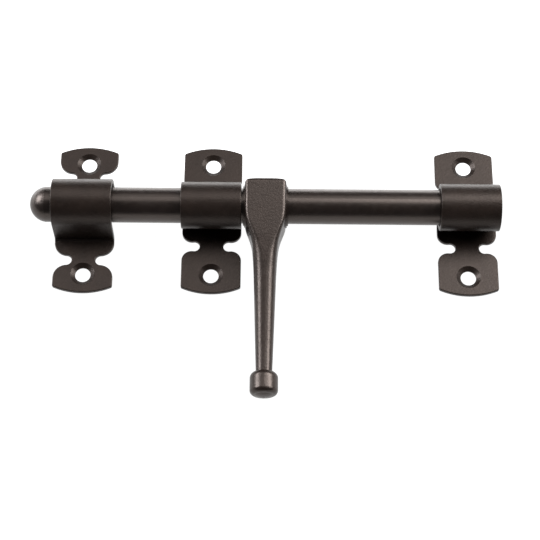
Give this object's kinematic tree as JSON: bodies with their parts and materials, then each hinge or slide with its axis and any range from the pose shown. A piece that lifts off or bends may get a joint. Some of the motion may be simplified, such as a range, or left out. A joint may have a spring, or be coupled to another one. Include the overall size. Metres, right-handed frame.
{
  "type": "toggle bolt latch",
  "caption": "Surface-mounted sliding bolt: round rod with domed ends in two looped guides and a keeper, moved by a cast lever handle with a barrel knob.",
  "frame": {"origin": "centre of the inner guide's two screw holes, on its mounting face", "axes": "+X along the rod, away from the keeper; +Z away from the door; -Y towards the lever's knob at rest"},
  "size_m": [0.16, 0.0949, 0.0208],
  "materials": {
    "bracket_coating": "satin dark brown-black coating on pressed steel sheet",
    "rod_coating": "satin dark brown-black coating on a smooth round bar",
    "casting_coating": "satin dark brown-black coating on a fine cast surface",
    "screw_steel": "blackened steel"
  },
  "bodies": {
    "brackets": {"keeper": "bracket_coating", "inner_guide": "bracket_coating", "outer_guide": "bracket_coating"},
    "rod": {"bolt_rod": "rod_coating"},
    "lever": {"handle": "casting_coating", "grub_screw": "screw_steel"}
  },
  "joints": [
    {"name": "rod_slide", "type": "slide", "parent": "brackets", "child": "rod", "axis": [1, 0, 0], "range_m": [-0.0005, 0.0515]},
    {"name": "lever_turn", "type": "hinge", "parent": "rod", "child": "lever", "pos_m": [0.0185, 0, 0.0115], "axis": [-1, 0, 0], "range_deg": [0, 190]}
  ]
}
